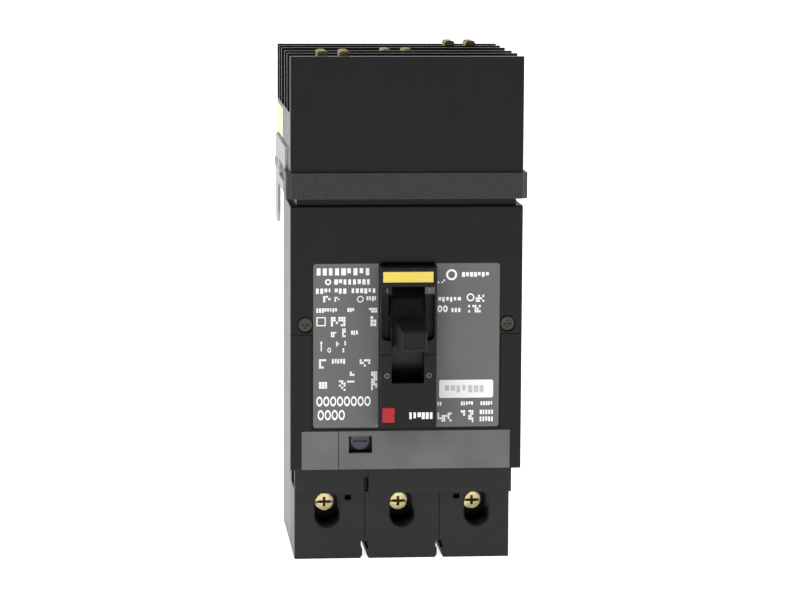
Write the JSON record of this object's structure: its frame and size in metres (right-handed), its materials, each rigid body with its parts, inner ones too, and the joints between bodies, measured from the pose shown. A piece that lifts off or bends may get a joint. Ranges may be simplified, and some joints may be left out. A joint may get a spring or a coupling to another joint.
{
  "type": "molded case circuit breaker",
  "caption": "Moulded case circuit breaker with a toggle handle, plug-on line jaws between insulating fins, an adjustable trip front and screw lugs for cables.",
  "frame": {"origin": "centre of the rear mounting face, on the plane of symmetry of the case", "axes": "X across the poles to the right as seen from the front; Y from the front to the rear; Z from the load end up to the line end"},
  "size_m": [0.1086, 0.1493, 0.2332],
  "materials": {
    "black_moulding": "fine semi-gloss texture",
    "charcoal_moulding": "fine semi-gloss texture",
    "collar_moulding": "speckled texture",
    "grey_panel": "smooth",
    "grey_label": "printed film",
    "yellow_plate": "printed film",
    "pale_label": "printed film",
    "red_button": "smooth",
    "dial_plastic": "smooth",
    "bar_plastic": "moulded",
    "zinc_steel": "zinc plated",
    "spring_steel": "bright",
    "black_screw": "blackened",
    "gold_brass": "bright",
    "copper": "bright copper",
    "silver_pad": "silver alloy",
    "lug_aluminium": "tin plated",
    "fibre_chute": "steel plates in fibre cheeks"
  },
  "bodies": {
    "case": {"base_case": "black_moulding", "crossbar_keepers": "black_moulding", "terminal_cover": "charcoal_moulding", "main_cover": "black_moulding", "accessory_cover": "black_moulding", "label_left": "grey_label", "label_right": "grey_label", "name_plate": "yellow_plate", "cover_screws": "black_screw", "case_screws": "zinc_steel", "trip_panel_wide": "grey_panel", "trip_panel_narrow": "grey_panel", "mechanism_frame_left": "zinc_steel", "mechanism_frame_right": "zinc_steel", "latch_cradle": "zinc_steel", "toggle_springs": "spring_steel", "fixed_contacts": "silver_pad", "flexible_leads": "copper", "magnet_yokes": "zinc_steel", "line_rear_housing": "black_moulding", "line_front_housing": "black_moulding", "collar": "collar_moulding", "side_bracket_left": "zinc_steel", "side_bracket_right": "zinc_steel", "side_label": "pale_label", "trip_spring": "spring_steel", "line_conductor_a": "copper", "line_conductor_b": "copper", "line_conductor_c": "copper", "jaw_a": "gold_brass", "jaw_b": "gold_brass", "jaw_c": "gold_brass", "jaw_springs_a": "spring_steel", "jaw_springs_b": "spring_steel", "jaw_springs_c": "spring_steel", "arc_chute_a": "fibre_chute", "arc_chute_b": "fibre_chute", "arc_chute_c": "fibre_chute", "load_strap_a": "copper", "load_strap_b": "copper", "load_strap_c": "copper", "bimetal_a": "spring_steel", "bimetal_b": "spring_steel", "bimetal_c": "spring_steel", "lug_a": "lug_aluminium", "lug_b": "lug_aluminium", "lug_c": "lug_aluminium"},
    "handle": {"toggle_handle": "black_moulding", "handle_yoke": "zinc_steel"},
    "contact_bar": {"contact_crossbar": "bar_plastic", "moving_contacts": "silver_pad", "contact_arm_a": "copper", "contact_arm_b": "copper", "contact_arm_c": "copper"},
    "trip_button_body": {"trip_button": "red_button"},
    "trip_bar_body": {"trip_bar": "bar_plastic"},
    "dial": {"adjustment_dial": "dial_plastic"},
    "screw_a": {"lug_screw_a": "gold_brass"},
    "screw_b": {"lug_screw_b": "gold_brass"},
    "screw_c": {"lug_screw_c": "gold_brass"}
  },
  "joints": [
    {"name": "handle_turn", "type": "hinge", "parent": "case", "child": "handle", "pos_m": [0, -0.0745, -0.0069], "axis": [-1, 0, 0], "range_deg": [-20, 16]},
    {"name": "contact_bar_turn", "type": "hinge", "parent": "case", "child": "contact_bar", "pos_m": [0, -0.034, -0.0295], "axis": [-1, 0, 0], "range_deg": [-18.8, 15.04]},
    {"name": "trip_button_press", "type": "slide", "parent": "case", "child": "trip_button_body", "axis": [0, 1, 0], "range_m": [0, 0.0025], "stiffness_N_per_m": 400},
    {"name": "trip_bar_turn", "type": "hinge", "parent": "case", "child": "trip_bar_body", "pos_m": [0, -0.056, -0.0535], "axis": [-1, 0, 0], "range_deg": [0, 16.5]},
    {"name": "dial_turn", "type": "hinge", "parent": "case", "child": "dial", "pos_m": [-0.0205, -0.104, -0.0581], "axis": [0, -1, 0], "range_deg": [-135, 135]},
    {"name": "lug_screw_a_drive", "type": "slide", "parent": "case", "child": "screw_a", "axis": [0, 1, 0], "range_m": [0, 0.005]},
    {"name": "lug_screw_b_drive", "type": "slide", "parent": "case", "child": "screw_b", "axis": [0, 1, 0], "range_m": [0, 0.005]},
    {"name": "lug_screw_c_drive", "type": "slide", "parent": "case", "child": "screw_c", "axis": [0, 1, 0], "range_m": [0, 0.005]}
  ],
  "couplings": [
    {"joint": "contact_bar_turn", "follows": "handle_turn", "ratio": 0.94},
    {"joint": "trip_bar_turn", "follows": "trip_button_press", "rad_per_m": 114.9}
  ]
}
